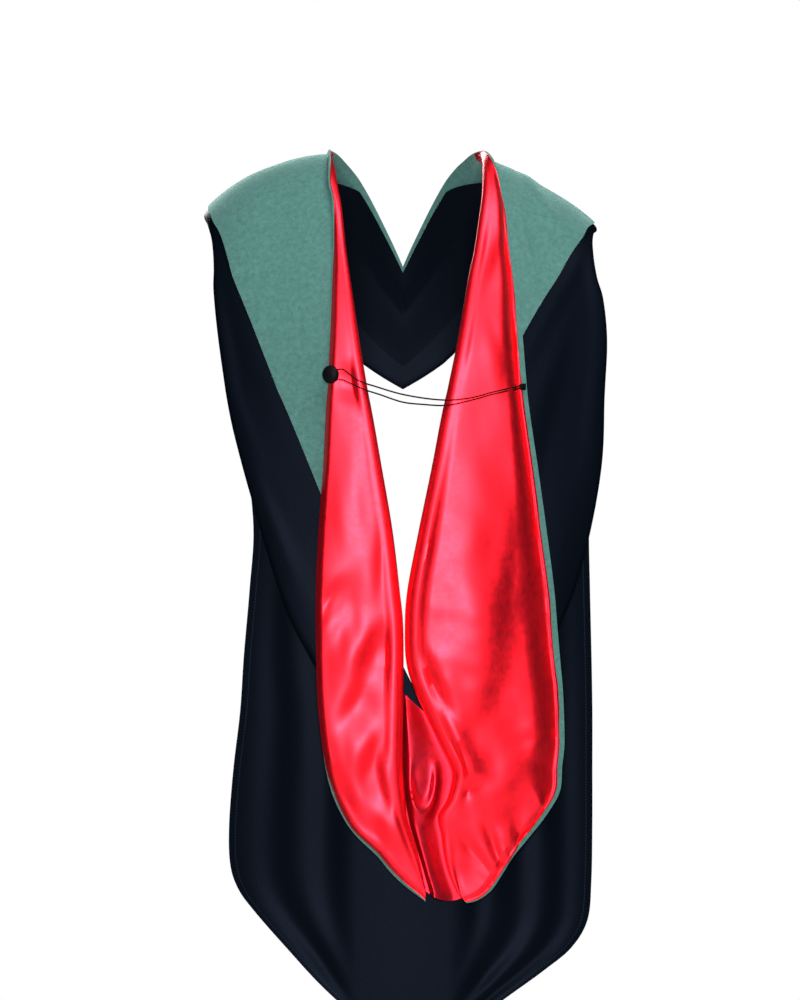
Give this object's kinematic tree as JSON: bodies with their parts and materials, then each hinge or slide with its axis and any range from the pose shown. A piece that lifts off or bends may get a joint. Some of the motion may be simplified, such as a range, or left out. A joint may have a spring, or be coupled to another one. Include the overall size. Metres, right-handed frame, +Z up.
{
  "type": "academic hood",
  "caption": "Doctoral academic hood as worn: velvet-edged cowl with satin lapels turned out over flat panels, held by a cord loop and a covered button",
  "frame": {"origin": "between the shoulders at the middle of the neck opening, level with the top of the shoulder ridge beside the neck", "axes": "+X is the wearer's right, +Y the way the wearer faces, +Z up; the back of the hood faces -Y"},
  "size_m": [0.4341, 0.3172, 0.9553],
  "materials": {
    "shell": "black woven cloth with a soft sheen",
    "trim": "grey-green short-pile velvet",
    "lining": "bright red satin",
    "cord": "black twisted cord and cloth-covered button"
  },
  "bodies": {
    "root": {"panel_left": "shell", "panel_right": "shell", "shell_left": "shell", "shell_right": "shell", "trim_left": "trim", "trim_right": "trim", "lining_left": "lining", "lining_right": "lining", "lining_throat": "lining", "button": "cord", "cord_loop": "cord", "cord_tack": "cord"}
  },
  "joints": []
}
